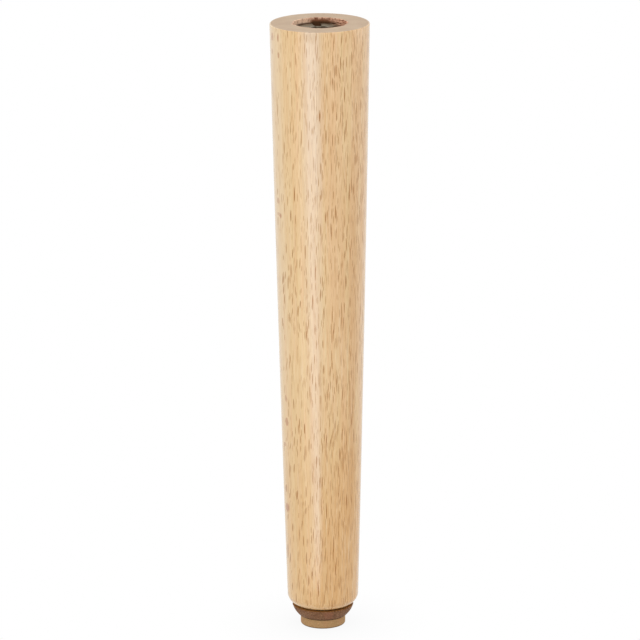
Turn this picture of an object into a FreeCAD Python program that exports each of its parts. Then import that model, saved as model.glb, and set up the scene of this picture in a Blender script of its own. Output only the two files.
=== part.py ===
# Tapered beech furniture leg with a tee nut in its top and a screw foot for levelling.
# Millimetres, +Z up. The origin is on the floor, under the middle of the foot.
import FreeCAD, Part
import math
import os
from collections import namedtuple

V = FreeCAD.Vector

# Turned shaft
shaft_length = 291.5
top_diameter = 48.0
bottom_diameter = 34.6
top_edge_chamfer = 0.4
toe_radius = 5.5

# M8 tee nut in the top, pressed from sheet, with prongs folded down into the wood
thread_core_diameter = 6.8
nut_height = 11.0
barrel_diameter = 10.0
flange_diameter = 22.0
flange_thickness = 1.5
mouth_chamfer = 1.1
prong_count = 4
prong_width = 4.0
prong_tip_width = 0.8
prong_length = 6.5
prong_setback = 1.0
prong_bend_radius = 0.4
nut_sink = 2.4
nut_turn = 9.0

# M8 flanged bush in the bottom
bush_length = 13.0
bush_barrel_diameter = 10.0
bush_flange_diameter = 14.0
bush_flange_thickness = 1.0

# Bores in the wood
recess_clearance = 1.5
mounting_bore_depth = 45.0
pilot_clearance = 0.1
toe_wall = 1.0
drill_point_angle = 118.0

# Levelling stem
stem_reach = 28.0
stem_end_room = 7.0
stem_tip_chamfer = 1.0
thread_clearance = 0.05
head_across_flats = 13.0
head_height = 3.0
neck_diameter = 6.0
button_diameter = 12.0
button_thickness = 1.4

# Moulded collar
collar_top_diameter = 30.0
collar_bottom_diameter = 23.4
collar_height = 5.4
collar_swell = 0.45
collar_floor = 1.2
rim_gap = 0.4

# Glide disc
glide_diameter = 22.0
glide_thickness = 4.4
glide_chamfer = 0.4
glide_floor = 1.3
swivel_gap = 0.3
pivot_clearance = 0.1

# Heights above the floor
collar_bottom = glide_thickness + swivel_gap
collar_top = collar_bottom + collar_height
shaft_bottom = collar_top + rim_gap
shaft_top = shaft_bottom + shaft_length
nut_face = shaft_top - nut_sink
head_bottom = collar_bottom + collar_floor
stem_top = collar_top + stem_reach
button_bottom = glide_floor + pivot_clearance
button_top = button_bottom + button_thickness

# Radii that more than one piece uses
core_radius = thread_core_diameter / 2
barrel_radius = barrel_diameter / 2
flange_radius = flange_diameter / 2
bush_barrel_radius = bush_barrel_diameter / 2
bush_flange_radius = bush_flange_diameter / 2
neck_radius = neck_diameter / 2
button_radius = button_diameter / 2
notch_root = barrel_radius + prong_setback

full_turn = 360.0
hexagon_sides = 6
swell_stretches = 3
same_place = 1e-6

Corner = namedtuple("Corner", "point rounding", defaults=(0,))


def at(radius, height, rounding=0):
    """A corner of a turned outline, with the radius that rounds it."""
    return Corner(V(radius, 0, height), rounding)


def rounded_corner(before, corner, after):
    """Start, middle and end of the arc that rounds a corner, all at the corner if it is sharp."""
    if not corner.rounding:
        return corner.point, corner.point, corner.point
    back = (before.point - corner.point).normalize()
    ahead = (after.point - corner.point).normalize()
    half = back.getAngle(ahead) / 2
    reach = corner.rounding / math.tan(half)
    depth = corner.rounding / math.sin(half) - corner.rounding
    inwards = (back + ahead).normalize()
    return corner.point + back * reach, corner.point + inwards * depth, corner.point + ahead * reach


def face_of(corners):
    """The flat face inside a closed outline, given corner by corner."""
    arcs = [rounded_corner(corners[i - 1], corners[i], corners[(i + 1) % len(corners)])
            for i in range(len(corners))]
    edges = []
    for i, (start, middle, end) in enumerate(arcs):
        following = arcs[(i + 1) % len(arcs)][0]
        if corners[i].rounding:
            edges.append(Part.Arc(start, middle, end).toShape())
        if not end.isEqual(following, same_place):
            edges.append(Part.LineSegment(end, following).toShape())
    return Part.Face(Part.Wire(edges))


def turned(*corners):
    """The solid that a closed half outline makes about the Z axis."""
    return face_of(corners).revolve(V(), V(0, 0, 1), full_turn)


def drilled(radius, mouth, depth, direction):
    """A drilled hole as a solid: its straight wall ends at the depth, in the drill's point."""
    point = radius / math.tan(math.radians(drill_point_angle / 2))
    end = mouth + direction * depth
    return turned(at(0, mouth), at(radius, mouth), at(radius, end), at(0, end + direction * point))


def bored(radius, mouth, depth, direction):
    """A flat-bottomed recess as a solid."""
    return Part.makeCylinder(radius, depth, V(0, 0, mouth), V(0, 0, direction))


def around(solid, count):
    """Copies of a solid, evenly spaced about the Z axis."""
    copies = [solid.copy() for _ in range(count)]
    for index, copy in enumerate(copies):
        copy.rotate(V(), V(0, 0, 1), index * full_turn / count)
    return copies


def nut_body():
    """Flange and drawn barrel, face upwards at Z 0, with an eased mouth."""
    return turned(
        at(core_radius + mouth_chamfer, 0),
        at(flange_radius, 0),
        at(flange_radius, -flange_thickness),
        at(barrel_radius, -flange_thickness),
        at(barrel_radius, -nut_height),
        at(core_radius, -nut_height),
        at(core_radius, -mouth_chamfer))


def notch():
    """The gap that a folded prong leaves in the flange, on the +X side."""
    corner = V(notch_root, -prong_width / 2, -flange_thickness)
    return Part.makeBox(flange_radius, prong_width, flange_thickness, corner)


def prong():
    """One prong on the +X side, folded down from the flange and drawn to a chisel point."""
    inner = notch_root + prong_bend_radius
    outer = inner + flange_thickness
    shoulder = -flange_thickness - prong_bend_radius
    section = face_of([
        at(notch_root, 0),
        at(outer, 0, rounding=flange_thickness + prong_bend_radius),
        at(outer, -prong_length),
        at(inner, -prong_length),
        at(inner, -flange_thickness, rounding=prong_bend_radius),
        at(notch_root, -flange_thickness)])
    section.translate(V(0, -prong_width / 2, 0))
    strip = section.extrude(V(0, prong_width, 0))

    half = prong_width / 2
    tip = prong_tip_width / 2
    front = [V(0, -half, 0), V(0, half, 0), V(0, half, shoulder), V(0, tip, -prong_length),
             V(0, -tip, -prong_length), V(0, -half, shoulder)]
    return strip.common(face_of([Corner(point) for point in front]).extrude(V(outer, 0, 0)))


def mounting_tee_nut():
    """Pronged tee nut sunk in the top recess, with its face upwards."""
    nut = nut_body().cut(around(notch(), prong_count))
    nut = nut.fuse(around(prong(), prong_count)).removeSplitter()
    nut.rotate(V(), V(0, 0, 1), nut_turn)
    nut.translate(V(0, 0, nut_face))
    return nut


def foot_bush():
    """Threaded bush, flush with the wood's lower end."""
    flange_top = shaft_bottom + bush_flange_thickness
    bush_top = shaft_bottom + bush_length
    return turned(
        at(core_radius, shaft_bottom),
        at(bush_flange_radius, shaft_bottom),
        at(bush_flange_radius, flange_top),
        at(bush_barrel_radius, flange_top),
        at(bush_barrel_radius, bush_top),
        at(core_radius, bush_top))


def leg_shaft(nut):
    """Turned tapered shaft, bored at both ends for what is driven into it."""
    bush_seat = bush_flange_radius + pilot_clearance
    toe = min(toe_radius, bottom_diameter / 2 - bush_seat - toe_wall)
    shaft = turned(
        at(0, shaft_bottom),
        at(bottom_diameter / 2, shaft_bottom, rounding=toe),
        at(top_diameter / 2, shaft_top - top_edge_chamfer),
        at(top_diameter / 2 - top_edge_chamfer, shaft_top),
        at(0, shaft_top))
    return shaft.cut([
        bored(flange_radius + recess_clearance, shaft_top, nut_sink + flange_thickness, -1),
        drilled(barrel_radius + pilot_clearance, shaft_top, mounting_bore_depth, -1),
        bored(bush_seat, shaft_bottom, bush_flange_thickness, 1),
        drilled(bush_barrel_radius + pilot_clearance, shaft_bottom, stem_reach + stem_end_room, 1),
        nut])


def levelling_stem():
    """Stud, hexagon head and the button under it, all on one axis."""
    stud_radius = core_radius - thread_clearance
    stud = turned(
        at(0, stem_top),
        at(stud_radius - stem_tip_chamfer, stem_top),
        at(stud_radius, stem_top - stem_tip_chamfer),
        at(stud_radius, head_bottom),
        at(neck_radius, head_bottom),
        at(neck_radius, button_top),
        at(button_radius, button_top),
        at(button_radius, button_bottom),
        at(0, button_bottom))
    corner = head_across_flats / 2 / math.cos(math.pi / hexagon_sides)
    turns = [index * 2 * math.pi / hexagon_sides for index in range(hexagon_sides)]
    corners = [V(corner * math.cos(turn), corner * math.sin(turn), head_bottom) for turn in turns]
    head = face_of([Corner(point) for point in corners]).extrude(V(0, 0, head_height))
    return stud.fuse(head).removeSplitter()


def adjuster_collar(stem):
    """Collar with a flank that swells outwards from a cone, moulded around the stem's head."""
    low = collar_bottom_diameter / 2
    high = collar_top_diameter / 2
    shares = [i / swell_stretches for i in range(swell_stretches + 1)]
    flank = [at(low + (high - low) * t + 4 * collar_swell * t * (1 - t), collar_bottom + collar_height * t)
             for t in shares]
    return turned(at(0, collar_bottom), *flank, at(0, collar_top)).cut(stem)


def glide_disc():
    """Disc with a socket that the stem's button turns in."""
    rim = glide_diameter / 2
    disc = turned(
        at(0, 0),
        at(rim - glide_chamfer, 0),
        at(rim, glide_chamfer),
        at(rim, glide_thickness),
        at(0, glide_thickness))
    socket_height = button_thickness + 2 * pivot_clearance
    return disc.cut([
        bored(button_radius + pivot_clearance, glide_floor, socket_height, 1),
        bored(neck_radius + pivot_clearance, glide_floor, glide_thickness, 1)])


def main():
    nut = mounting_tee_nut()
    stem = levelling_stem()
    pieces = {
        "leg_shaft": leg_shaft(nut),
        "mounting_tee_nut": nut,
        "foot_bush": foot_bush(),
        "levelling_stem": stem,
        "adjuster_collar": adjuster_collar(stem),
        "glide_disc": glide_disc(),
    }
    os.makedirs("parts", exist_ok=True)
    for name, shape in pieces.items():
        shape.exportStep(f"parts/{name}.step")


main()
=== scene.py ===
import math

import bmesh
import bpy
import numpy as np
from mathutils import Matrix, Vector


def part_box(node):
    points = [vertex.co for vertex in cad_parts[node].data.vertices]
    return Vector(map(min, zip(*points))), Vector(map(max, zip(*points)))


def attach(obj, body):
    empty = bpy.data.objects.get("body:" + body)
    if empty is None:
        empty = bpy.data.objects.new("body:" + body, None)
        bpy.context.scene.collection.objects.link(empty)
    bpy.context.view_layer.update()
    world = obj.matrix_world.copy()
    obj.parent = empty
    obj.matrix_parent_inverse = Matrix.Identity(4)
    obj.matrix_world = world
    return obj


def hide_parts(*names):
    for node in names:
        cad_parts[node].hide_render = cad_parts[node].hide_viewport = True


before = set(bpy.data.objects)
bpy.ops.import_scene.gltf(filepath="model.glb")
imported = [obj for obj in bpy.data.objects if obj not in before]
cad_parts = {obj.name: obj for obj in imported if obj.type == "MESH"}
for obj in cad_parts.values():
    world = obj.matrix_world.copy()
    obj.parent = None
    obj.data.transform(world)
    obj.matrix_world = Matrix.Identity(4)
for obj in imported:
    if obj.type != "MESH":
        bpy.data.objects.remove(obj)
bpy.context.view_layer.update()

# Lengths are in millimetres and angles in degrees, unless a comment says otherwise.
# Meshes are scaled to metres as they are made.
mm = 0.001
full_turn = 2 * math.pi


def node_box(name):
    """Lowest and highest corner of a CAD node."""
    return [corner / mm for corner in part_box(name)]


# Places and sizes read from the CAD nodes
shaft_low, shaft_high = node_box("leg_shaft")
nut_low, nut_high = node_box("mounting_tee_nut")
bush_low, bush_high = node_box("foot_bush")
stem_low, stem_high = node_box("levelling_stem")
collar_low, collar_high = node_box("adjuster_collar")
glide_low, glide_high = node_box("glide_disc")
shaft_bottom, shaft_top = shaft_low.z, shaft_high.z
top_radius = shaft_high.x
nut_face = nut_high.z
nut_height = nut_high.z - nut_low.z
bush_flange_radius = bush_high.x
collar_top_radius = collar_high.x
glide_radius = glide_high.x

# Turned shaft
bottom_radius = 17.3
flank_swell = 0.35
top_edge_radius = 0.6
toe_radius = 5.5
bore_radius = 5.1
mounting_bore_depth = 45.0
foot_bore_depth = 35.0
drill_point_angle = 118.0
recess_radius = 12.5

# Torn wall of the recess
# Sides: first and last bearing, how many tears, their half width in degrees and their reach
torn_sides = [(50, 122, 34, 4.0, 0.7), (-35, 60, 26, 4.0, 1.2),
              (120, 205, 14, 3.0, 0.5), (205, 325, 16, 3.0, 0.3)]
tear_seed = 5
# Least and most share of a tear's width and reach, and how it closes downwards
tear_widths = (0.4, 1.0)
tear_reaches = (0.2, 1.0)
tear_closing = 1.4
sound_face = 3.6
nick_bearing = 191
nick_spread = 4.0
nick_depth = 0.8
# Rim: the smallest tear that breaks it, how deep it breaks, and the steps of its edge
breaking_tear = 0.15
broken_edge = 0.45
rim_border = 0.6
rim_bevel = 0.12
rim_bevel_share = 0.1
rim_drop = 0.05
# Fibres of the wall: how far they stand out, and the waves that draw them around the axis
fibre_depth = 0.16
fibre_waves = 170
fibre_seed = 9
strand_waves = 110
strand_seed = 30
strand_layers = 4
strand_slant = 0.05
wave_falloff = 0.2
recess_wall_rows = 14
recess_floor_radii = (11.5, 10, 9, 8.4, 8.05, 7.95, 7.4, 6.8, 6.36, 6.28, 5.7, bore_radius)
# Slivers: bearing and its spread, how many, the longest, the widest and how far they lean inwards
sliver_sides = [(12, 17, 120, 7.5, 0.9, 1.0), (84, 20, 60, 1.8, 0.34, 0.35), (160, 16, 16, 1.4, 0.16, 0.4)]
sliver_seed = 21
# Least and most share of a sliver's length and width, of its lean, and of its length that the tip rises
sliver_sizes = (0.4, 1.0)
sliver_leans = (0.6, 1.0)
sliver_rises = (-0.3, 0.8)
sliver_sideways = 0.3
# Room above the nut and room below the top face, for a sliver's root and for its tip
sliver_root_room = (0.4, 0.1)
sliver_tip_room = (0.2, 0.02)
sliver_root_depth = 0.15
sliver_tear_share = 0.6
sliver_corners = 3
sliver_shares = (0, 0.35, 0.7, 1.0)
sliver_taper = 0.85
sliver_curl = 1.5
sliver_flatness = 0.4

# Tee nut in the top
flange_radius = 11.0
flange_thickness = 1.5
flange_edge_radius = 0.35
barrel_radius = 5.0
barrel_chamfer = 0.3
ledge_width = 0.25
mouth_radius = 1.1
mouth_lip = 0.05
mouth_shares = (0.2, 0.4, 0.6, 0.8, 0.92, 1.0)
prong_width = 4.0
prong_tip_width = 0.8
prong_length = 6.5
prong_bend_radius = 0.4
notch_root = 6.0
prong_count = 4
slot_clearance = 0.08
nut_turn = 9.0
fold_sag = 0.65
mouth_sag_share = 0.65
tongue_shares = (-1, -0.92, -0.7, -0.35, 0, 0.35, 0.7, 0.92, 1)
flange_steps = 18
# Rows of points: radii on the flange, and heights from the nut's face on a prong and on the barrel.
# A side of the flange and a side of a prong have the same number of points.
flange_rows = (7.5, 9.0, 10.0)
flange_edge_steps = 4
prong_rows = (-3.2, -4.9, -prong_length)
fold_steps = 5
barrel_rows = (-2.0, -4.0, -7.0)

# M8 thread
thread_pitch = 1.25
nut_crest_radius = 3.4
stud_root_radius = 3.3
thread_depth = 0.65
root_flat = 1 / 8
crest_start = 3 / 4
rows_per_pitch = 12

# Bush in the bottom, stem and head
bush_barrel_radius = 5.0
bush_flange_thickness = 1.0
bush_flange_edge = 0.15
bush_mouth_ease = 0.6
stem_shank = 0.3
stem_tip_chamfer = 1.0
stem_tip_slope = 1.4
thread_runout = 1.2
head_across_flats = 13.0
head_height = 3.0
neck_radius = 3.0
button_radius = 6.0
button_thickness = 1.4
button_edge = 0.2

# Collar and disc
collar_bottom_radius = 11.7
collar_swell = 0.6
collar_floor = 1.2
collar_edge_radius = 0.35
collar_mouth_width = 0.4
collar_mouth_depth = 0.25
collar_flank_shares = np.linspace(0.92, 0.06, 16)
# Lower edge of the collar: points outwards from its bottom radius and upwards from its bottom
collar_lower_edge = [(0.05, 0.12), (-0.2, 0)]
head_bottom = collar_low.z + collar_floor
head_top = head_bottom + head_height
stud_clearance = 0.02
neck_border = 0.5
glide_floor = 1.3
glide_edge_radius = 0.7
glide_top_edge_share = 0.4
glide_hole_radius = 3.1
glide_hole_chamfer = 0.2
socket_radius = 6.1
socket_height = 1.6

# Columns of faces around each piece, and rows up the flank
leg_columns = 480
thread_columns = 96
moulded_columns = 160
flank_rows = 32

# Camera, fitted to the leg's outline
camera_place = (-0.65, -2014.95, 710.36)
camera_pitch = 15.409
camera_roll = -0.3336
camera_lens = 241.98
camera_sensor = 36.0


class Value:
    """A number, colour or direction that a socket gives. Expressions on numbers add Math nodes."""

    def __init__(self, nodes, socket):
        self.nodes = nodes
        self.socket = socket

    def output(self, name):
        """Another output of the same node."""
        return Value(self.nodes, self.socket.node.outputs[name])

    def __add__(self, other):
        return self.nodes.math("ADD", self, other)

    def __sub__(self, other):
        return self.nodes.math("SUBTRACT", self, other)

    def __rsub__(self, other):
        return self.nodes.math("SUBTRACT", other, self)

    def __mul__(self, other):
        return self.nodes.math("MULTIPLY", self, other)

    def __truediv__(self, other):
        return self.nodes.math("DIVIDE", self, other)

    def __rtruediv__(self, other):
        return self.nodes.math("DIVIDE", other, self)

    def __pow__(self, other):
        return self.nodes.math("POWER", self, other)

    def __rpow__(self, other):
        return self.nodes.math("POWER", other, self)

    __radd__ = __add__
    __rmul__ = __mul__


class Nodes:
    """A node tree that is filled through one method, and the short forms that call it."""

    def __init__(self, tree):
        self.tree = tree
        tree.nodes.clear()

    def node(self, kind, settings=None, sockets=None, output=0):
        """Adds a node: its settings first, then a value or a link for each socket named."""
        node = self.tree.nodes.new(kind)
        for name, setting in (settings or {}).items():
            setattr(node, name, setting)
        for name, value in (sockets or {}).items():
            if isinstance(value, Value):
                self.tree.links.new(value.socket, node.inputs[name])
            else:
                node.inputs[name].default_value = value
        return Value(self, node.outputs[output]) if len(node.outputs) else None

    def math(self, operation, *terms):
        return self.node("ShaderNodeMath", {"operation": operation}, dict(enumerate(terms)))

    def vector(self, x, y, z):
        return self.node("ShaderNodeCombineXYZ", None, {"X": x, "Y": y, "Z": z})

    def place(self):
        """The point's X, Y and Z on the piece."""
        point = self.node("ShaderNodeTexCoord", output="Object")
        point = self.node("ShaderNodeVectorMath", {"operation": "SCALE"}, {0: point, "Scale": 1 / mm})
        x = self.node("ShaderNodeSeparateXYZ", None, {0: point})
        return x, x.output("Y"), x.output("Z")

    def noise(self, point, scale=1.0, detail=2.0, roughness=0.5):
        sockets = {"Vector": point, "Scale": scale, "Detail": detail, "Roughness": roughness}
        return self.node("ShaderNodeTexNoise", None, sockets, output="Fac")

    def rise(self, value, low, high):
        """Smoothly from 0 at low to 1 at high."""
        settings = {"interpolation_type": "SMOOTHSTEP"}
        sockets = {"Value": value, "From Min": low, "From Max": high}
        return self.node("ShaderNodeMapRange", settings, sockets)

    def mix(self, share, first, second):
        """The first colour, and the second where the share is 1. Inputs 6 and 7 and output 2 are colours."""
        settings = {"data_type": "RGBA", "blend_type": "MIX", "clamp_factor": True}
        return self.node("ShaderNodeMix", settings, {0: share, 6: first, 7: second}, output=2)

    def tint(self, tone, second, value, start, full, share=1.0):
        """The tone, with a share of a second colour where the value goes from its start to full."""
        return self.mix(self.rise(value, start, full) * share, tone, second)

    def blend(self, share, first, second):
        """The first shader, and the second where the share is 1."""
        return self.node("ShaderNodeMixShader", None, {0: share, 1: first, 2: second})

    def bump(self, height, strength, depth):
        sockets = {"Height": height, "Strength": strength, "Distance": depth * mm}
        return self.node("ShaderNodeBump", None, sockets)

    def surface(self, **sockets):
        """Ends a material in one Principled shader."""
        shader = self.node("ShaderNodeBsdfPrincipled", None, sockets)
        self.node("ShaderNodeOutputMaterial", None, {"Surface": shader})


def colour(red, green, blue):
    """A display colour, 0 to 255, as the shaders count it."""
    shares = [channel / 255 for channel in (red, green, blue)]
    linear = [s / 12.92 if s <= 0.04045 else ((s + 0.055) / 1.055) ** 2.4 for s in shares]
    return (*linear, 1.0)


def new_finish(name):
    """A new material and its nodes."""
    material = bpy.data.materials.new(name)
    material.use_nodes = True
    return material, Nodes(material.node_tree)


# Beech: where the tree's pith lies from the leg's axis, and the colours of the wood
pith_x, pith_y = -40.0, 80.0
pith_distance = math.hypot(pith_x, pith_y)
beech_yellow = colour(231, 200, 150)
beech_orange = colour(230, 190, 142)
# Pale beech, also the colour of the painted light along the left edge
beech_pale_and_edge_light = colour(236, 212, 176)
beech_ripe = colour(216, 165, 98)
# Pale colour of the painted highlight down the front
highlight_pale = colour(226, 201, 171)
# Brown of the fibres and rings, also the colour of the painted shade near the right edge
fibre_and_shade_brown = colour(194, 140, 70)
fibre_pale = colour(250, 219, 174)
ray_brown = colour(158, 96, 4)
mark_pink = colour(188, 136, 96)
end_grain_tan = colour(200, 175, 146)
end_grain_dark = colour(186, 158, 130)
# Pale colour of the painted light on the left wall of the recess
torn_painted_light = colour(250, 214, 184)
torn_pink = colour(232, 188, 158)
torn_brown = colour(140, 88, 64)
torn_red = colour(142, 92, 64)
# Dark colour of the painted shade in the recess
recess_shade_dark = colour(62, 40, 16)

# A fade, side, back, height or depth gives where it starts and where it is full, and a third number is
# the share of colour that it brings.
# Rays: thickness, depth, height, and the least and the most of its cell that one fills
bold_rays = (0.5, 6.0, 15.5, 0.13, 0.36)
small_rays = (0.38, 4.0, 11.5, 0.12, 0.34)
thin_rays = (0.43, 5.0, 13.0, 0.1, 0.3)
end_rays = (0.8, 16.0, 9.0, 0.1, 0.24)
small_ray_strength = 0.85
faintest_ray = 0.2
ray_scatter = 0.9
ray_edge_fade = (1.0, 0.7)
ray_facing_fade = (-0.35, 0.6)
# Upwards the rays get shorter and fainter, and to the right a little larger, over these lengths
ray_shortening = 3000
ray_fainting = 1200
ray_growth = 300
ray_strength_below = 1.3
# Rays are fainter at the upper left
calm_heights = (180, 250)
calm_side = (2, -8)
calm_share = 0.35

# Fibres: width and length
hair_fibres = (0.3, 14.0)
line_fibres = (0.32, 24.0)
pale_fibres = (0.9, 60.0)
highlight_fibres = (1.1, 120.0)
shade_band_fibres = (1.6, 140.0)
warm_fibres = (2.2, 160.0)
ripe_fibres = (5.0, 260.0)
torn_fibres = (0.28, 4.0)
line_fade = (0.57, 0.73)
line_strength = 0.5
pale_fade = (0.5, 0.75, 0.4)
dark_hair_fade = (0.48, 0.75, 0.4)
pale_hair_fade = (0.47, 0.3, 0.4)
# How much rays and hairs are sunk below the flank
ray_relief = 0.7
hair_relief = 0.3

# Patches: width and height
drift_patches = (9, 22)
sway_patches = (30, 160)
mark_patches = (1.2, 2)
gloss_patches = (6, 12)
pore_patches = (0.22, 20)
blotch_patches = (9, 9)
torn_patches = (1.6, 3)
# How far the grain drifts sideways, and how neighbouring columns of rays are staggered
drift_reach = 1.2
stagger_width = 4
stagger_height = 40
stagger_reach = 3

# Growth rings
ring_width = 3.4
ring_sway = 2.4
ring_rise_fade = (0.35, 0.95)
ring_end_fade = (1.0, 0.95)
ring_share = 0.1

# Painted highlight: a pale streak down the front, under the gloss strips, with bearings from the front in
# radians
highlight_left_fade = (-0.48, -0.22)
highlight_right_fade = (0.12, -0.08)
highlight_narrow_heights = (220, 60)
highlight_narrowing = 0.1
highlight_low_heights = (10, 60)
highlight_high_heights = (170, 270)
highlight_base_share = 0.25
highlight_fibre_share = 0.7
highlight_high_share = 0.3
# Painted light on the left edge and painted shade in a band near the right edge, with bearings in the same
# way
lit_edge_sides = [(-0.76, -0.98), (-2.6, -1.3)]
lit_edge_heights = [(50, 180)]
lit_edge_share = 0.45
shade_band_sides = [(0.58, 0.74), (1.02, 0.86)]
shade_band_heights = [(270, 190), (30, 80)]
shade_band_base_share = 0.1
shade_band_fibre_share = 0.3
# Warmer wood to the right, and riper wood below and to the right
leg_width = 48
warm_to_right = 0.25
warm_fade = (0.35, 0.65)
ripe_heights = (140, 40)
ripe_below = 0.45
ripe_to_right = 0.7
ripe_fibre_share = 0.8
ripe_fade = (0.23, 1.23)
ripe_share = 0.8
# Marks near the left edge: bearing from the front, height, half width, half height and strength
edge_marks = [(-71, 297.0, 1.2, 2.2, 0.7), (-56, 297.5, 0.7, 2.3, 0.9), (-72, 290.0, 1.1, 1.6, 0.6),
              (-56, 289.0, 0.7, 1.6, 0.8), (-66, 217.0, 2.0, 1.7, 0.6), (-64, 210.5, 2.8, 1.0, 0.5),
              (-60, 210.0, 1.0, 1.3, 0.9), (-60, 118.4, 1.4, 1.8, 0.6), (-60, 106.5, 2.1, 2.2, 0.8),
              (-67, 94.3, 1.5, 1.0, 0.6), (-67, 62.0, 3.2, 2.5, 0.9)]
mark_fade = (1.1, 0.7)

# End grain
blotch_fade = (0.3, 0.7, 0.6)
pore_fade = (0.58, 0.75, 0.3)
end_ring_share = 0.15
end_ray_share = 0.35

# Torn wood: painted lighter at the left where light falls on the wall, reddened in the middle of the back,
# and with painted shade deep in the middle of the back and close to the nut
torn_fibre_share = 0.5
torn_patch_share = 0.5
torn_fade = (0.44, 0.58)
torn_light_side = (-2.5, -7.5)
torn_light_fade = (0.68, 0.48)
torn_light_share = 0.9
# Middle of the back: reddened near the top, and darkened deeper down with painted shade
middle_left_side = (-5.1, -3.3)
middle_right_side = (9.0, 3.2)
middle_back = (4.0, 9.0)
reddened_depths = (0.2, 1.3)
shade_depths = (1.0, 2.3)
shade_above_nut = 0.6
shade_share = 0.84


class BeechFigure:
    """Rays, fibres and rings of the beech, in the directions that they grew."""

    def __init__(self, nodes):
        self.nodes = nodes
        self.x, self.y, self.z = nodes.place()
        across = self.x - pith_x
        along = self.y - pith_y
        self.outwards = (across * across + along * along) ** 0.5
        from_axis = (self.x * self.x + self.y * self.y) ** 0.5
        facing = (self.x * across + self.y * along) / (from_axis * self.outwards)
        self.flat_sawn = nodes.math("ABSOLUTE", facing)
        drift = self.patches(*drift_patches, detail=0.0) - 0.5
        self.around = nodes.math("ARCTAN2", along, across) * pith_distance + drift * drift_reach
        column = nodes.vector(self.around / stagger_width, 0.0, self.z / stagger_height)
        self.stagger = nodes.noise(column, detail=0.0) * stagger_reach

    def patches(self, width, height, **settings):
        """Soft patches of that size, around 0.5."""
        point = self.nodes.vector(self.x / width, self.y / width, self.z / height)
        return self.nodes.noise(point, **settings)

    def fibres(self, width, length):
        """Fine streaks along the grain, around 0.5."""
        point = self.nodes.vector(self.around / width, self.outwards / width, self.z / length)
        return self.nodes.noise(point, detail=3.0, roughness=0.6)

    def rays(self, thickness, depth, height, least, most):
        """Lens-shaped rays, 1 inside. Each has its own size and strength."""
        nodes = self.nodes
        layer = self.outwards / depth + self.stagger
        level = self.z * (1 + self.z / ray_shortening) / height
        point = nodes.vector(self.around / thickness, layer, level)
        sockets = {"Vector": point, "Scale": 1.0, "Randomness": ray_scatter}
        distance = nodes.node("ShaderNodeTexVoronoi", None, sockets, "Distance")
        size = nodes.node("ShaderNodeSeparateColor", None, {0: distance.output("Color")})
        reach = (least + size * (most - least)) * (1 + self.x / ray_growth)
        inside = nodes.rise(distance / reach, *ray_edge_fade)
        strength = (faintest_ray + size.output("Green")) * (ray_strength_below - self.z / ray_fainting)
        return inside * strength * nodes.rise(self.flat_sawn, *ray_facing_fade)

    def flank_rays(self):
        """Three sizes of rays and thin lines between them, fainter at the upper left."""
        nodes = self.nodes
        bold = self.rays(*bold_rays)
        small = self.rays(*small_rays) * small_ray_strength
        lines = nodes.rise(self.fibres(*line_fibres), *line_fade) * line_strength
        thin = nodes.math("MAXIMUM", self.rays(*thin_rays), lines)
        rays = nodes.math("MAXIMUM", nodes.math("MAXIMUM", bold, small), thin)
        calm = nodes.rise(self.z, *calm_heights) * nodes.rise(self.x, *calm_side)
        return rays * (1 - calm * calm_share)

    def rings(self):
        """Growth rings, 0 in early wood and 1 in late wood."""
        sway = self.patches(*sway_patches) * ring_sway
        share = self.nodes.math("FRACT", self.outwards / ring_width + sway)
        return self.nodes.rise(share, *ring_rise_fade) * self.nodes.rise(share, *ring_end_fade)

    def painted_highlight(self, bearing):
        """Painted highlight: a pale streak down the front, narrower below and gone at the toe."""
        nodes = self.nodes
        narrow = nodes.rise(self.z, *highlight_narrow_heights) * highlight_narrowing
        left = nodes.rise(bearing - narrow, *highlight_left_fade)
        right = nodes.rise(bearing + narrow / 2, *highlight_right_fade)
        high = nodes.rise(self.z, *highlight_high_heights) * highlight_high_share
        strength = highlight_base_share + self.fibres(*highlight_fibres) * highlight_fibre_share + high
        return left * right * strength * nodes.rise(self.z, *highlight_low_heights)

    def band(self, bearing, sides, heights):
        """A band down the leg, 1 between its sides and at its heights."""
        band = 1.0
        for value, fades in ((bearing, sides), (self.z, heights)):
            for fade in fades:
                band = self.nodes.rise(value, *fade) * band
        return band

    def marks(self, bearing):
        """Marks near the left edge, with ragged outlines."""
        nodes = self.nodes
        uneven = self.patches(*mark_patches) - 0.5
        all_marks = 0.0
        for place, height, half_width, half_height, strength in edge_marks:
            across = (bearing - math.radians(place)) * (top_radius / half_width)
            along = (self.z - height) / half_height
            apart = (across * across + along * along) ** 0.5 + uneven
            all_marks = nodes.math("MAXIMUM", all_marks, nodes.rise(apart, *mark_fade) * strength)
        return all_marks


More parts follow.
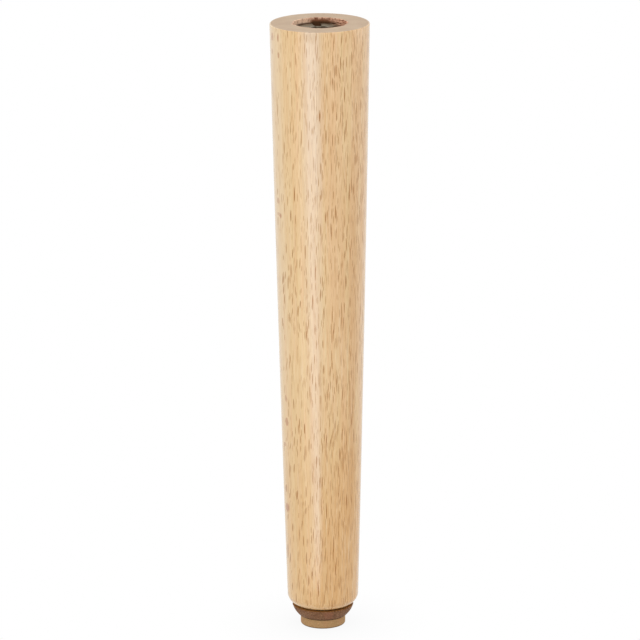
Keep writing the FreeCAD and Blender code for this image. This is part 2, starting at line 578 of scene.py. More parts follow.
def lacquered_beech():
    """Flank and toe: ray flecks and fibres under a satin clear lacquer."""
    material, nodes = new_finish("lacquered_beech")
    figure = BeechFigure(nodes)
    bearing = nodes.math("ARCTAN2", figure.x, 0 - figure.y)
    rays = figure.flank_rays()
    lit_left_edge = figure.band(bearing, lit_edge_sides, lit_edge_heights)
    right_band_shade = figure.band(bearing, shade_band_sides, shade_band_heights)
    right_band_shade = right_band_shade * (shade_band_base_share + figure.fibres(*shade_band_fibres) * shade_band_fibre_share)
    hairs = figure.fibres(*hair_fibres)
    side = figure.x / leg_width
    warmth = nodes.rise(figure.fibres(*warm_fibres) + side * warm_to_right, *warm_fade)
    low = nodes.rise(figure.z, *ripe_heights) * (ripe_below + side * ripe_to_right)
    ripeness = nodes.rise(figure.fibres(*ripe_fibres) * ripe_fibre_share + low, *ripe_fade)
    tone = nodes.mix(warmth, beech_yellow, beech_orange)
    tone = nodes.mix(ripeness * ripe_share, tone, beech_ripe)
    tone = nodes.tint(tone, beech_pale_and_edge_light, figure.fibres(*pale_fibres), *pale_fade)
    # Painted highlight: paler under the gloss strips, strongest near the top
    tone = nodes.mix(figure.painted_highlight(bearing), tone, highlight_pale)
    # Painted light: a paler sheen along the left edge
    tone = nodes.mix(lit_left_edge * lit_edge_share, tone, beech_pale_and_edge_light)
    # Painted shade: a darker band near the right edge
    tone = nodes.mix(right_band_shade, tone, fibre_and_shade_brown)
    tone = nodes.mix(figure.rings() * ring_share, tone, fibre_and_shade_brown)
    tone = nodes.tint(tone, fibre_and_shade_brown, hairs, *dark_hair_fade)
    tone = nodes.tint(tone, fibre_pale, hairs, *pale_hair_fade)
    tone = nodes.mix(figure.marks(bearing), tone, mark_pink)
    tone = nodes.mix(rays, tone, ray_brown)
    relief = nodes.bump(1 - rays * ray_relief - hairs * hair_relief, strength=0.3, depth=0.02)
    patches = figure.patches(*gloss_patches)
    nodes.surface(**{"Base Color": tone, "Roughness": 0.45 + patches * 0.12, "Normal": relief,
                     "Specular IOR Level": 0.15, "Coat Weight": 0.9, "Coat Roughness": 0.14,
                     "Coat IOR": 1.5})
    return material


def sawn_end_grain():
    """Top and bottom ends: rings and rays cut across, sanded and barely sealed."""
    material, nodes = new_finish("sawn_end_grain")
    figure = BeechFigure(nodes)
    pores = figure.patches(*pore_patches)
    blotches = figure.patches(*blotch_patches, detail=3.0)
    tone = nodes.tint(end_grain_tan, end_grain_dark, blotches, *blotch_fade)
    tone = nodes.mix(figure.rings() * end_ring_share, tone, end_grain_dark)
    tone = nodes.mix(figure.rays(*end_rays) * end_ray_share, tone, torn_pink)
    tone = nodes.tint(tone, ray_brown, pores, *pore_fade)
    relief = nodes.bump(pores, strength=0.4, depth=0.03)
    nodes.surface(**{"Base Color": tone, "Roughness": 0.6 + blotches * 0.15, "Normal": relief,
                     "Coat Weight": 0.1, "Coat Roughness": 0.4})
    return material


def torn_beech():
    """Drilled wood: raw fibres, pink where they broke and brown where the drill burnt them, with painted
    light on the left wall and painted shade deep at the back and close to the nut.
    """
    material, nodes = new_finish("torn_beech")
    figure = BeechFigure(nodes)
    threads = figure.fibres(*torn_fibres)
    patches = figure.patches(*torn_patches, detail=3.0)
    left = nodes.rise(figure.x, *torn_light_side)
    middle = nodes.rise(figure.x, *middle_left_side) * nodes.rise(figure.x, *middle_right_side)
    middle = middle * nodes.rise(figure.y, *middle_back)
    reddened = nodes.rise(figure.z, *[shaft_top - depth for depth in reddened_depths])
    # Painted shade: darker deep in the middle of the back and close to the nut
    recess_shade = nodes.rise(figure.z, *[shaft_top - depth for depth in shade_depths]) * middle
    recess_shade = nodes.math("MAXIMUM", nodes.rise(figure.z, nut_face + shade_above_nut, nut_face), recess_shade)
    broken = threads * torn_fibre_share + patches * torn_patch_share
    tone = nodes.tint(torn_pink, torn_brown, broken, *torn_fade)
    # Painted light: the left wall is paler where light falls on it
    tone = nodes.mix(left * nodes.rise(patches, *torn_light_fade) * torn_light_share, tone, torn_painted_light)
    tone = nodes.mix(middle * reddened, tone, torn_red)
    tone = nodes.mix(recess_shade * shade_share, tone, recess_shade_dark)
    relief = nodes.bump(threads, strength=0.8, depth=0.15)
    nodes.surface(**{"Base Color": tone, "Roughness": 0.75 + patches * 0.2, "Normal": relief,
                     "Specular IOR Level": 0.2})
    return material


# Zinc: colours, then the scales and shares of its crystals, rubbed patches, scratches and the painted shade
# inside a bore
# The zinc colours are warmed as a painted reflection of the brown wood and darkened as painted shade of the
# recess
zinc_grey = colour(144, 132, 110)
zinc_shade = colour(88, 78, 60)
bore_shade_dark = colour(44, 38, 28)
crystal_scale = 1.1
crystal_share = 0.2
crystal_relief = 0.3
rubbed_scale = 0.35
rubbed_fade = (0.35, 0.7)
rubbed_share = 0.6
scratch_along = 0.3
scratch_across = 6
bore_shade_edge = 0.35
bore_shade_share = 0.9
shaded_mouth_share = 0.9

# Plastic: plain, dark, warm and pale colour, the top face's colour painted lighter as bounce light, and how
# strongly it is mottled
collar_brown = [colour(128, 90, 62), colour(74, 46, 28), colour(140, 92, 68),
                colour(170, 132, 102), colour(154, 110, 58)]
disc_tan = [colour(182, 144, 98), colour(140, 104, 68), colour(194, 140, 100),
            colour(196, 160, 118), colour(196, 160, 118)]
collar_mottling = 0.8
disc_mottling = 0.4
mottle_scale = 1.5
mottle_fade = (0.46, 0.64)
speck_scale = 1.9
speck_height = 1.8
speck_fade = (0.54, 0.66)
flow_scale = 0.2
flow_height = 2
flow_fade = (0.5, 0.7, 0.6)
grain_scale = 5.0
grain_fade = (0.55, 0.8, 0.2)
# Painted shade along the lower edge: its colour, share, mottled share and height
edge_shade_brown = colour(74, 50, 28)
edge_shade_share = 0.7
edge_shade_mottling = 0.4
shaded_edge = 1.1
# Height of the top face that is painted lighter as bounce light
lit_top_edge = 0.06


def zinc_plate(name, shaded_within):
    """Dull zinc plating, with faint crystals and rubbed patches, and painted shade inside a tapped bore."""
    material, nodes = new_finish(name)
    x, y, z = nodes.place()
    point = nodes.vector(x, y, z)
    crystals = nodes.node("ShaderNodeTexVoronoi", None, {"Vector": point, "Scale": crystal_scale}, "Color")
    crystals = nodes.node("ShaderNodeSeparateColor", None, {0: crystals})
    rubbed = nodes.noise(point, rubbed_scale, detail=4.0, roughness=0.6)
    stretched = nodes.vector(x * scratch_along, y * scratch_across, z * scratch_across)
    scratches = nodes.noise(stretched, detail=3.0)
    # Painted shade inside the tapped bore and over its mouth
    bore_shade = nodes.rise((x * x + y * y) ** 0.5, shaded_within, shaded_within - bore_shade_edge)
    shade = nodes.rise(rubbed, *rubbed_fade) * rubbed_share + crystals * crystal_share
    tone = nodes.mix(shade, zinc_grey, zinc_shade)
    tone = nodes.mix(bore_shade * bore_shade_share, tone, bore_shade_dark)
    relief = nodes.bump(scratches + crystals * crystal_relief, strength=0.25, depth=0.02)
    nodes.surface(**{"Base Color": tone, "Metallic": 1.0, "Normal": relief,
                     "Roughness": 0.3 + rubbed * 0.25 + crystals * 0.06})
    return material


def moulded_plastic(name, colours, low, high, mottling):
    """Matte moulded plastic, mottled where the filler shows, with a fine grain, painted shade along the
    lower edge and a top face painted lighter as bounce light in the gap above it."""
    material, nodes = new_finish(name)
    plain, dark, warm, pale, rubbed = colours
    x, y, z = nodes.place()
    point = nodes.vector(x, y, z)
    mottle = nodes.noise(point, mottle_scale, detail=4.0, roughness=0.75)
    specks = nodes.noise(nodes.vector(x, y, z / speck_height), speck_scale)
    flow = nodes.noise(nodes.vector(x, y, z / flow_height), flow_scale)
    grain = nodes.noise(point, grain_scale)
    tone = nodes.tint(plain, dark, mottle, *mottle_fade, mottling)
    tone = nodes.tint(tone, pale, specks, *speck_fade, mottling)
    tone = nodes.tint(tone, warm, flow, *flow_fade)
    tone = nodes.tint(tone, dark, grain, *grain_fade)
    # Painted shade along the lower edge, mottled
    tone = nodes.tint(tone, edge_shade_brown, z, low + shaded_edge, low, edge_shade_share + mottle * edge_shade_mottling)
    # Painted light: the top face is lighter, as bounce light in the gap above it
    tone = nodes.tint(tone, rubbed, z, high - lit_top_edge, high)
    relief = nodes.bump(grain + mottle, strength=0.35, depth=0.03)
    nodes.surface(**{"Base Color": tone, "Roughness": 0.55 + mottle * 0.2, "Normal": relief,
                     "Specular IOR Level": 0.15})
    return material


# Meshes: how close points have to be to weld, and the angle from which an edge stays sharp
weld_distance = 1e-4
crease_angle = 38.0


def make_piece(name, points, faces, finishes, finish_of_face=None):
    """A smooth object from points and faces, welded where points meet."""
    mesh = bpy.data.meshes.new(name)
    mesh.from_pydata((np.asarray(points) * mm).tolist(), [], faces)
    for material in finishes:
        mesh.materials.append(material)
    if finish_of_face is not None:
        mesh.polygons.foreach_set("material_index", finish_of_face)
    skin = bmesh.new()
    skin.from_mesh(mesh)
    bmesh.ops.remove_doubles(skin, verts=skin.verts, dist=weld_distance * mm)
    bmesh.ops.recalc_face_normals(skin, faces=skin.faces)
    skin.to_mesh(mesh)
    skin.free()
    mesh.shade_smooth()
    mesh.set_sharp_from_angle(angle=math.radians(crease_angle))
    piece = bpy.data.objects.new(name, mesh)
    bpy.context.scene.collection.objects.link(piece)
    return piece


def grid_faces(rows, columns, closed):
    """Faces between neighbouring rows and columns. Columns close on themselves, and rows if asked."""
    last = rows if closed else rows - 1
    row, column = np.meshgrid(np.arange(last), np.arange(columns), indexing="ij")
    after = (row + 1) % rows
    beside = (column + 1) % columns
    corners = [row * columns + column, row * columns + beside,
               after * columns + beside, after * columns + column]
    return np.stack(corners, -1).reshape(-1, 4).tolist()


def column_angles(columns):
    """Angles of the columns around the axis, in radians."""
    return np.arange(columns) * full_turn / columns


def polar(radius, angle):
    """X and Y at a radius and at an angle in radians."""
    return radius * np.cos(angle), radius * np.sin(angle)


def turned(name, outline, finishes, columns, closed=False):
    """A piece turned about Z. The outline's points are (finish, radius, height), from row to row,
    and a radius or height is one number or one for each column."""
    angles = column_angles(columns)
    rows = []
    for _, radius, height in outline:
        row = np.broadcast_arrays(*polar(radius, angles), height)
        rows.append(np.stack(row, -1))
    faces = grid_faces(len(rows), columns, closed)
    of_row = [index for index, _, _ in outline[1:]] + [outline[0][0]] * closed
    return make_piece(name, np.concatenate(rows), faces, finishes, np.repeat(of_row, columns))


def straight(start, end, steps):
    """Points (radius, height) after the start, up to the end."""
    shares = np.arange(1, steps + 1) / steps
    return [(start[0] + (end[0] - start[0]) * s, start[1] + (end[1] - start[1]) * s) for s in shares]


def arc(centre, radius, first, last, steps):
    """Points (radius, height) along an arc, both ends included."""
    angles = np.radians(np.linspace(first, last, steps + 1))
    return [(centre[0] + radius * math.cos(a), centre[1] + radius * math.sin(a)) for a in angles]


def finished(index, points):
    """Outline points that take the finish of that number."""
    return [(index, radius, height) for radius, height in points]


def thread_share(angles, height):
    """How far a point lies into the right-hand thread: 0 on a nut's crest and 1 at its root."""
    phase = (height / thread_pitch - angles / full_turn) % 1
    from_middle = np.abs(phase - 0.5) * 2
    return np.clip((crest_start - from_middle) / (crest_start - root_flat), 0, 1)


def thread_heights(low, high):
    """Heights of the rows that draw a thread."""
    return np.linspace(low, high, round((high - low) / thread_pitch * rows_per_pitch) + 1)


def ragged(angles, waves, falloff, seed):
    """A random line around the axis, about -1 to 1: waves that weaken as they get shorter."""
    random = np.random.default_rng(seed)
    line = np.zeros_like(angles)
    for wave in range(1, waves + 1):
        line += random.normal() / wave ** falloff * np.cos(wave * angles + random.uniform(0, full_turn))
    return line / np.abs(line).max()


def turn_from(bearing, angles):
    """The turn from a bearing to each angle, in radians."""
    return (angles - math.radians(bearing) + math.pi) % full_turn - math.pi


def torn_teeth(angles, first, last, count, width, reach, random):
    """Pointed tears in the rim between two bearings: at each column, the deepest of those that meet."""
    line = np.zeros_like(angles)
    for _ in range(count):
        apart = np.abs(turn_from(random.uniform(first, last), angles))
        half = math.radians(width * random.uniform(*tear_widths))
        tooth = reach * random.uniform(*tear_reaches) * np.clip(1 - apart / half, 0, None)
        line = np.maximum(line, tooth)
    return line


def recess_tear(angles):
    """How far the recess wall is torn outwards at its rim: most at the right, and in a nick at the left."""
    random = np.random.default_rng(tear_seed)
    tears = [torn_teeth(angles, *side, random) for side in torn_sides]
    nick = np.exp(-(turn_from(nick_bearing, angles) / math.radians(nick_spread)) ** 2)
    return np.max(tears, axis=0) + nick * nick_depth


# Finishes of the shaft, by their number on its skin
lacquer, end_grain, torn = 0, 1, 2


def flank_radius(height):
    """The shaft's taper with its slight swell."""
    share = (height - shaft_bottom) / (shaft_top - shaft_bottom)
    return bottom_radius + (top_radius - bottom_radius) * share + 4 * flank_swell * share * (1 - share)


def foot_end_outline(drill_point):
    """From the foot's drill point down its bore, past the bush's seat and over the toe."""
    bore_end = shaft_bottom + foot_bore_depth
    seat_radius = bush_flange_radius + bore_radius - bush_barrel_radius
    seat = shaft_bottom + bush_flange_thickness
    toe_height = shaft_bottom + toe_radius
    slope = math.atan2(flank_radius(toe_height) - bottom_radius, toe_radius)
    toe_centre = (flank_radius(toe_height) - toe_radius / math.cos(slope), toe_height)
    bore = [(0, bore_end + drill_point), (bore_radius, bore_end)]
    bore += straight(bore[-1], (bore_radius, seat), steps=4)
    bore += [(seat_radius, seat), (seat_radius, shaft_bottom)]
    face = straight(bore[-1], (toe_centre[0], shaft_bottom), steps=3)
    toe = arc(toe_centre, toe_radius, -90, -math.degrees(slope), steps=12)[1:]
    return finished(torn, bore) + finished(end_grain, face) + finished(lacquer, toe)


def flank_outline():
    """From the toe to the edge of the top face."""
    end = shaft_top - top_edge_radius
    heights = np.linspace(shaft_bottom + toe_radius, end, flank_rows + 1)[1:]
    flank = [(flank_radius(height), height) for height in heights]
    edge_centre = (flank_radius(end) - top_edge_radius, end)
    edge = arc(edge_centre, top_edge_radius, 0, 90, steps=5)[1:]
    return finished(lacquer, flank + edge)


def recess_outline(angles):
    """From the top face into the torn recess and over its floor, with a slot for each prong."""
    floor = nut_face - flange_thickness
    rim_top = shaft_top - rim_drop
    tear = recess_tear(angles)
    fibre = fibre_depth * ragged(angles, fibre_waves, wave_falloff, fibre_seed)
    rim = recess_radius + tear + fibre / 2
    chip = np.clip(tear - breaking_tear, 0, None) * broken_edge
    top_edge = (top_radius - top_edge_radius, shaft_top)
    face = straight(top_edge, (recess_radius + sound_face, shaft_top), steps=5)
    face += [(rim + rim_border, shaft_top)]
    wall = [(rim + rim_bevel, shaft_top - rim_bevel_share * chip), (rim, rim_top - chip)]
    for share in np.linspace(0, 1, recess_wall_rows + 1)[1:]:
        seed = strand_seed + round(share * strand_layers)
        strand = fibre_depth / 2 * ragged(angles + strand_slant * share, strand_waves, wave_falloff, seed)
        radius = recess_radius + tear * (1 - share) ** tear_closing + fibre * (1 - share / 2) + strand
        wall.append((radius, rim_top - chip * (1 - share) - (rim_top - floor) * share))
    bottom = [(radius, floor - slot_depth(radius, angles)) for radius in recess_floor_radii]
    return finished(end_grain, face) + finished(torn, wall + bottom)


def slot_depth(radius, angles):
    """How deep the recess floor is pierced by a prong."""
    quarter = full_turn / prong_count
    turn = (angles - math.radians(nut_turn) + quarter / 2) % quarter - quarter / 2
    out, aside = polar(radius, turn)
    inner = notch_root + prong_bend_radius
    outer = inner + flange_thickness
    pierced = (out > inner - slot_clearance) & (out < outer + slot_clearance)
    pierced &= np.abs(aside) < prong_width / 2 + slot_clearance
    return np.where(pierced, prong_length - flange_thickness, 0.0)


def leg_shaft(finishes):
    """The shaft in one skin, from the foot's drill point to the mounting bore's."""
    drill_point = bore_radius / math.tan(math.radians(drill_point_angle / 2))
    bore_end = shaft_top - mounting_bore_depth
    bore_start = (bore_radius, nut_face - flange_thickness)
    bore = straight(bore_start, (bore_radius, bore_end), steps=4) + [(0, bore_end - drill_point)]
    outline = foot_end_outline(drill_point) + flank_outline()
    outline += recess_outline(column_angles(leg_columns)) + finished(torn, bore)
    return turned("leg_shaft_beech", outline, finishes, leg_columns)


def recess_splinters(finishes):
    """Slivers that still hang from the recess wall, most of them at the right and the back."""
    random = np.random.default_rng(sliver_seed)
    stations = len(sliver_shares)
    ring = list(range(sliver_corners))
    skin = grid_faces(stations, sliver_corners, closed=False)
    skin += [ring[::-1], *shifted([ring], sliver_corners * (stations - 1))]
    points = []
    faces = []
    for bearing, spread, count, longest, widest, lean in sliver_sides:
        for _ in range(count):
            turn = math.radians(random.normal(bearing, spread))
            faces += shifted(skin, len(points))
            points += torn_sliver(random, turn, longest, widest, lean)
    return make_piece("recess_splinters", points, faces, finishes)


def shifted(faces, start):
    """The same faces on points that begin at a later number."""
    return [[start + corner for corner in face] for face in faces]


def torn_sliver(random, bearing, longest, widest, lean):
    """Rings of points along a sliver, from its root in the recess wall to its tip."""
    length = longest * random.uniform(*sliver_sizes)
    half = widest / 2 * random.uniform(*sliver_sizes)
    inwards = length * lean * random.uniform(*sliver_leans)
    sideways = length * random.normal() * sliver_sideways
    root = random.uniform(nut_face + sliver_root_room[0], shaft_top - sliver_root_room[1])
    tip = root + length * random.uniform(*sliver_rises)
    tip = np.clip(tip, nut_face + sliver_tip_room[0], shaft_top - sliver_tip_room[1])
    wall = recess_radius + sliver_root_depth + sliver_tear_share * recess_tear(np.array([bearing]))[0]
    points = []
    for share in sliver_shares:
        thick = half * (1 - sliver_taper * share)
        for corner in range(sliver_corners):
            sway = corner * full_turn / sliver_corners
            outwards = sliver_flatness * thick * math.sin(sway)
            angle = bearing + (sideways * share ** 2 + thick * math.cos(sway)) / recess_radius
            x, y = polar(wall - inwards * share ** sliver_curl + outwards, angle)
            points.append((x, y, root + (tip - root) * share + outwards))
    return points


def nut_bore(bearing, turn, sag):
    """One line up the tapped bore and over its rounded mouth, in a quarter turned that far."""
    mouth_heights = [-mouth_radius * (1 - share) for share in mouth_shares]
    heights = np.concatenate([thread_heights(-nut_height, -mouth_radius), mouth_heights])
    mouth = np.clip(heights + mouth_radius, 0, None)
    flare = mouth_radius - np.sqrt(np.clip(mouth_radius ** 2 - mouth ** 2, 0, None))
    cut = nut_crest_radius + thread_depth * thread_share(bearing + turn, nut_face + heights)
    radius = np.maximum(nut_crest_radius + flare, np.where(heights < -mouth_lip, cut, 0))
    return np.stack([*polar(radius, bearing), heights - sag * mouth / mouth_radius], -1)


def flange_section(share):
    """Face and underside of the flange, outwards to its rim, at a share of the way between two notches."""
    edge = flange_edge_radius
    flat = [(radius, 0) for radius in flange_rows]
    face = flat + arc((flange_radius - edge, -edge), edge, 90, 0, flange_edge_steps)
    under = flat + arc((flange_radius - edge / 2, edge / 2), edge / 2, -90, 0, flange_edge_steps)
    under = [(radius, height - flange_thickness) for radius, height in under]
    return [[(*notched(radius, share), height) for radius, height in side] for side in (face, under)]


def notched(radius, share):
    """The point at a radius and a share of the way from one notch's side to the next one's."""
    side = math.asin(prong_width / 2 / radius)
    return polar(radius, side + share * (full_turn / prong_count - 2 * side))


def prong_section(share, sag=0.0):
    """Outer and inner side of a folded prong, at a share of its width from -1 to 1."""
    bend = notch_root, -flange_thickness - prong_bend_radius
    sides = []
    for thickness in (flange_thickness, 0):
        radius = prong_bend_radius + thickness
        out = notch_root + prong_bend_radius + thickness
        fold = arc(bend, radius, 90, 0, fold_steps)[1:]
        path = [(x, z - sag * (out - x) / radius) for x, z in fold]
        path += [(out, height) for height in prong_rows]
        sides.append([(x, share * prong_half_width(z), z) for x, z in path])
    return sides


def prong_half_width(height):
    """Half a prong's width at a height: full down to its shoulder, then narrower to the tip."""
    shoulder = -flange_thickness - prong_bend_radius
    share = max(0.0, (shoulder - height) / (shoulder + prong_length))
    return (prong_width + (prong_tip_width - prong_width) * share) / 2


def nut_column(bearing, turn, root, sides, sag=0.0):
    """One closed section of the nut: up the bore, out along the face, back below and down the barrel.
    Where a prong is folded down, the face sags between the mouth and the fold."""
    face, under = sides
    ledge = barrel_radius + ledge_width
    ledge_place = polar(ledge, bearing)
    mouth = nut_crest_radius + mouth_radius
    mouth_sag = sag * mouth_sag_share
    ledge_sag = mouth_sag + (sag - mouth_sag) * (ledge - mouth) / (notch_root - mouth)
    face = [(*ledge_place, -ledge_sag), (*root, -sag), *face]
    under = [*under[::-1], (*root, -flange_thickness - sag), (*ledge_place, -flange_thickness - ledge_sag)]
    rows = (*barrel_rows, barrel_chamfer - nut_height)
    barrel = [(*polar(barrel_radius, bearing), height) for height in rows]
    barrel += [(*polar(barrel_radius - barrel_chamfer, bearing), -nut_height)]
    return np.array([*nut_bore(bearing, turn, mouth_sag), *face, *under, *barrel])


def mounting_tee_nut(finishes):
    """Pressed flange with four notches, the prongs folded out of them, and a drawn, tapped barrel."""
    half = full_turn / prong_count / 2
    corner_radius = math.hypot(notch_root, prong_width / 2)
    notch_share = math.asin(prong_width / 2 / corner_radius)
    points = []
    faces = []
    for quarter in range(prong_count):
        turn = math.radians(nut_turn) + quarter * 2 * half
        tongue = []
        for share in tongue_shares:
            root = (notch_root, share * prong_width / 2)
            sag = fold_sag if abs(share) < 1 else 0.0
            tongue.append(nut_column(notch_share * share, turn, root, prong_section(share, sag), sag))
        flange = []
        for share in np.linspace(0, 1, flange_steps + 1):
            bearing = notch_share + share * 2 * (half - notch_share)
            flange.append(nut_column(bearing, turn, notched(corner_radius, share), flange_section(share)))
        for columns in (tongue, flange):
            faces += section_faces(len(points), len(columns), len(columns[0]))
            turned_columns = np.concatenate(columns) @ np.array(Matrix.Rotation(turn, 3, "Z")).T
            points += (turned_columns + (0, 0, nut_face)).tolist()
    return make_piece("mounting_tee_nut_zinc", points, faces, finishes)


def section_faces(start, columns, rows):
    """Faces between closed sections, and the walls that close the first and the last beyond the root."""
    faces = grid_faces(columns, rows, closed=False)
    side_points = len(prong_section(0)[0])
    root = len(nut_bore(0.0, 0.0, 0.0)) + 1
    for column in (0, columns - 1):
        here = column * rows + root
        for step in range(side_points):
            below = here + 2 * side_points + 1 - step
            faces.append([here + step, here + step + 1, below - 1, below])
    return shifted(faces, start)


def foot_bush(finishes):
    """Tapped bush with a thin flange, flush with the wood's lower end."""
    angles = column_angles(thread_columns)
    low, high = bush_low.z, bush_high.z
    bore = []
    for height in thread_heights(low, high):
        ease = max(0.0, bush_mouth_ease - min(height - low, high - height))
        cut = nut_crest_radius + thread_depth * thread_share(angles, height)
        bore.append((np.maximum(cut, nut_crest_radius + ease), height))
    flange_top = low + bush_flange_thickness
    edge = bush_flange_edge
    outer = [(bush_barrel_radius - barrel_chamfer, high), (bush_barrel_radius, high - barrel_chamfer)]
    outer += straight(outer[-1], (bush_barrel_radius, flange_top + edge), steps=4)
    outer += [(bush_barrel_radius + edge, flange_top), (bush_flange_radius - edge, flange_top)]
    outer += [(bush_flange_radius, flange_top - edge), (bush_flange_radius, low + edge)]
    outer += [(bush_flange_radius - edge, low)]
    return turned("foot_bush_zinc", finished(0, bore + outer), finishes, thread_columns, closed=True)


def hexagon(angles, flats):
    """Radius of a hexagon's outline, with a corner on +X."""
    sixth = full_turn / 6
    return flats / 2 / np.cos(angles % sixth - sixth / 2)


def levelling_stem(finishes):
    """Threaded stud, its hexagon head and the button that the disc turns on."""
    angles = column_angles(thread_columns)
    low, high = stem_low.z, stem_high.z
    button_top = low + button_thickness
    head = hexagon(angles, head_across_flats)
    edge = button_edge
    thread_start = collar_high.z + stem_shank
    rows = [(0, low), (button_radius - edge, low), (button_radius, low + edge),
            (button_radius, button_top - edge), (button_radius - edge, button_top),
            (neck_radius, button_top), (neck_radius, head_bottom),
            (head, head_bottom), (head, head_top), (stud_root_radius, head_top)]
    for height in thread_heights(thread_start, high):
        fade = np.clip((height - thread_start) / thread_runout, 0, 1)
        tip = max(0.0, stem_tip_chamfer - (high - height)) * stem_tip_slope
        ridge = stud_root_radius + thread_depth * fade * thread_share(angles, height)
        rows.append((np.minimum(ridge, stud_root_radius + thread_depth - tip), height))
    rows.append((0, high))
    return turned("levelling_stem_zinc", finished(0, rows), finishes, thread_columns)


def adjuster_collar(finishes):
    """Collar with a bowed flank, moulded around the stem's head."""
    angles = column_angles(moulded_columns)
    low, high = collar_low.z, collar_high.z
    head = hexagon(angles, head_across_flats)
    edge = collar_edge_radius
    stud = stud_root_radius + stud_clearance
    rows = [(neck_radius, low), (neck_radius, head_bottom), (head, head_bottom), (head, head_top),
            (stud, head_top), (stud, high - collar_mouth_depth), (stud + collar_mouth_width, high)]
    rows += straight(rows[-1], (collar_top_radius - edge, high), steps=5)
    rows += arc((collar_top_radius - edge, high - edge), edge, 90, 0, steps=5)[1:]
    for share in collar_flank_shares:
        cone = collar_bottom_radius + (collar_top_radius - collar_bottom_radius) * share
        rows.append((cone + 4 * collar_swell * share * (1 - share), low + (high - low) * share))
    rows += [(collar_bottom_radius + out, low + up) for out, up in collar_lower_edge]
    rows += straight(rows[-1], (neck_radius + neck_border, low), steps=3)
    return turned("adjuster_collar_brown", finished(0, rows), finishes, moulded_columns, closed=True)


def glide_disc(finishes):
    """Disc with rounded edges and a socket for the stem's button."""
    low, high = glide_low.z, glide_high.z
    edge = glide_edge_radius
    top_edge = edge * glide_top_edge_share
    hole = glide_hole_radius
    floor = low + glide_floor
    socket_top = floor + socket_height
    rows = [(0, floor), (socket_radius, floor), (socket_radius, socket_top),
            (hole, socket_top), (hole, high - glide_hole_chamfer), (hole + glide_hole_chamfer, high)]
    rows += straight(rows[-1], (glide_radius - top_edge, high), steps=4)
    rows += arc((glide_radius - top_edge, high - top_edge), top_edge, 90, 0, steps=4)[1:]
    rows += straight(rows[-1], (glide_radius, low + edge), steps=4)
    rows += arc((glide_radius - edge, low + edge), edge, 0, -90, steps=6)[1:]
    rows += straight(rows[-1], (0, low), steps=4)
    return turned("glide_disc_tan", finished(0, rows), finishes, moulded_columns)


def make_leg():
    """All the pieces, each on its body and in the place of its CAD node."""
    wood = [lacquered_beech(), sawn_end_grain(), torn_beech()]
    steel = [zinc_plate("zinc_plate", 0.0)]
    nut_steel = [zinc_plate("nut_zinc_plate", nut_crest_radius + mouth_radius * shaded_mouth_share)]
    brown = [moulded_plastic("brown_plastic", collar_brown, collar_low.z, collar_high.z, collar_mottling)]
    tan = [moulded_plastic("tan_plastic", disc_tan, glide_low.z, glide_high.z, disc_mottling)]
    made = [
        (leg_shaft(wood), "leg", "leg_shaft", "beech"),
        (mounting_tee_nut(nut_steel), "leg", "mounting_tee_nut", "zinc_steel"),
        (foot_bush(nut_steel), "leg", "foot_bush", "zinc_steel"),
        (levelling_stem(steel), "adjuster", "levelling_stem", "zinc_steel"),
        (adjuster_collar(brown), "adjuster", "adjuster_collar", "brown_plastic"),
        (glide_disc(tan), "glide", "glide_disc", "tan_plastic"),
    ]
    for piece, body, node, slot in made:
        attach(piece, body)
        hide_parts(node)
    splinters = recess_splinters(wood[torn:])
    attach(splinters, "leg")


# Studio: white all round, a floor that keeps a faint shade round the foot, and soft lamps
floor_reach = 9000.0
foot_opening = 17.0
opening_fade = 16.0
clear_reach = 140.0
floor_pale = 0.9
contact_reach = 40.0
contact_shade = 0.1
sky_level = 0.7
# Lamps: place, the point that they shine at, width, height and brightness
gloss_lamps = {"gloss_strip": ((-21, -67, 145), (0, 0, 145), 27, 290, 2.05),
               "gloss_fade": ((-45, -53, 145), (0, 0, 145), 22, 290, 0.8)}
room_lamps = {"left_window": ((-560, -1150, 700), (0, 0, 160), 800, 1000, 1.93),
              "right_window": ((1000, 250, 500), (0, 0, 160), 700, 900, 0.9),
              "overhead": ((0, -100, 1500), (0, 0, 0), 1200, 1200, 0.7)}


def grey(level):
    return (level, level, level, 1)


def seen_directly(nodes):
    """1 for rays that show the studio to the eye: straight from the camera, mirrored or let through."""
    camera = nodes.node("ShaderNodeLightPath", output="Is Camera Ray")
    seen = nodes.math("MAXIMUM", camera, camera.output("Is Glossy Ray"))
    return nodes.math("MAXIMUM", seen, camera.output("Is Transmission Ray"))


def studio_world():
    """White to the eye all round, and a softer white that lights the leg."""
    world = bpy.data.worlds.new("studio")
    bpy.context.scene.world = world
    world.use_nodes = True
    nodes = Nodes(world.node_tree)
    light = nodes.node("ShaderNodeBackground", None, {"Color": grey(1), "Strength": sky_level})
    white = nodes.node("ShaderNodeBackground", None, {"Color": grey(1), "Strength": 1.0})
    shown = nodes.blend(seen_directly(nodes), light, white)
    nodes.node("ShaderNodeOutputWorld", None, {"Surface": shown})


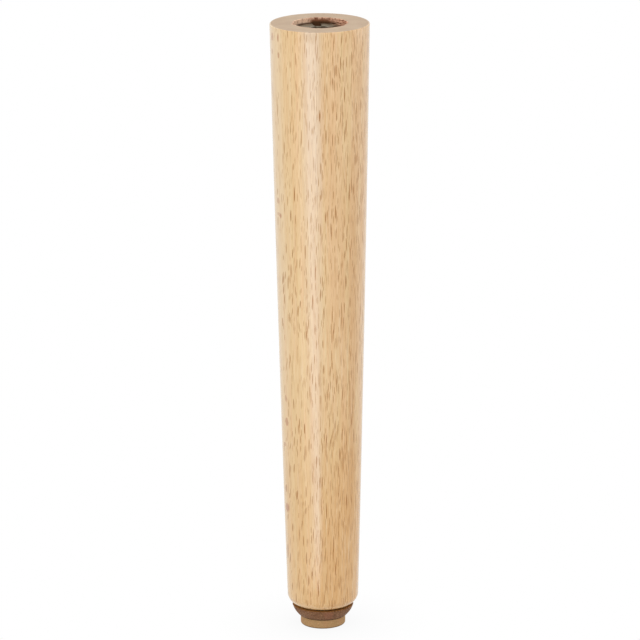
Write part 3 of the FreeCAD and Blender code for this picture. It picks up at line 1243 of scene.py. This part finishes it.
def studio_floor():
    """Pale floor that is white to the eye. It is open just under the foot and from below, and clear
    to the eye around the foot, so that the foot shows when it is screwed out."""
    material, nodes = new_finish("studio_floor")
    x, y, _ = nodes.place()
    from_axis = (x * x + y * y) ** 0.5
    clear = nodes.node("ShaderNodeBsdfTransparent")
    matt = nodes.node("ShaderNodeBsdfDiffuse", None, {"Color": grey(floor_pale)})
    matt = nodes.blend(nodes.rise(from_axis, foot_opening + opening_fade, foot_opening), matt, clear)
    white = nodes.node("ShaderNodeEmission", None, {"Color": grey(1), "Strength": 1.0})
    dark = nodes.node("ShaderNodeEmission", None, {"Color": grey(0), "Strength": 1.0})
    white = nodes.blend(nodes.rise(from_axis, clear_reach, clear_reach - opening_fade), white, clear)
    unshaded = nodes.node("ShaderNodeAmbientOcclusion", None, {"Distance": contact_reach * mm}, output="AO")
    white = nodes.blend((1 - unshaded) * contact_shade, white, dark)
    shown = nodes.blend(seen_directly(nodes), matt, white)
    below = nodes.node("ShaderNodeNewGeometry", output="Backfacing")
    shown = nodes.blend(below, shown, clear)
    nodes.node("ShaderNodeOutputMaterial", None, {"Surface": shown})
    half = floor_reach / 2
    corners = [(-half, -half, 0), (half, -half, 0), (half, half, 0), (-half, half, 0)]
    floor = make_piece("studio_floor", corners, [[0, 1, 2, 3]], [material])


def soft_lamp(name, place, aim, width, height, radiance):
    """A soft rectangular lamp that shines from a place towards a point, with a given brightness."""
    lamp = bpy.data.lights.new(name, "AREA")
    lamp.shape = "RECTANGLE"
    lamp.size = width * mm
    lamp.size_y = height * mm
    lamp.energy = radiance * math.pi * lamp.size * lamp.size_y
    holder = bpy.data.objects.new(name, lamp)
    bpy.context.scene.collection.objects.link(holder)
    away = Vector(place) - Vector(aim)
    holder.rotation_euler = away.to_track_quat("Z", "Y").to_euler()
    holder.location = Vector(place) * mm
    holder.visible_camera = False
    return holder


def studio_lamps():
    """Strips that show only as gloss on the lacquer, and the lamps that light the room."""
    for name, settings in gloss_lamps.items():
        strip = soft_lamp(name, *settings)
        strip.visible_diffuse = False
    for name, settings in room_lamps.items():
        soft_lamp(name, *settings)


def photo_camera():
    """Camera at the photograph's place and angle."""
    lens = bpy.data.cameras.new("photo_camera")
    lens.sensor_width = camera_sensor
    lens.lens = camera_lens
    camera = bpy.data.objects.new("photo_camera", lens)
    bpy.context.scene.collection.objects.link(camera)
    place = Matrix.Translation([coordinate * mm for coordinate in camera_place])
    pitch = Matrix.Rotation(math.radians(90 - camera_pitch), 4, "X")
    roll = Matrix.Rotation(math.radians(camera_roll), 4, "Z")
    camera.matrix_world = place @ pitch @ roll
    bpy.context.scene.camera = camera


make_leg()
studio_world()
studio_floor()
studio_lamps()
photo_camera()
bpy.context.scene.view_settings.view_transform = "Standard"
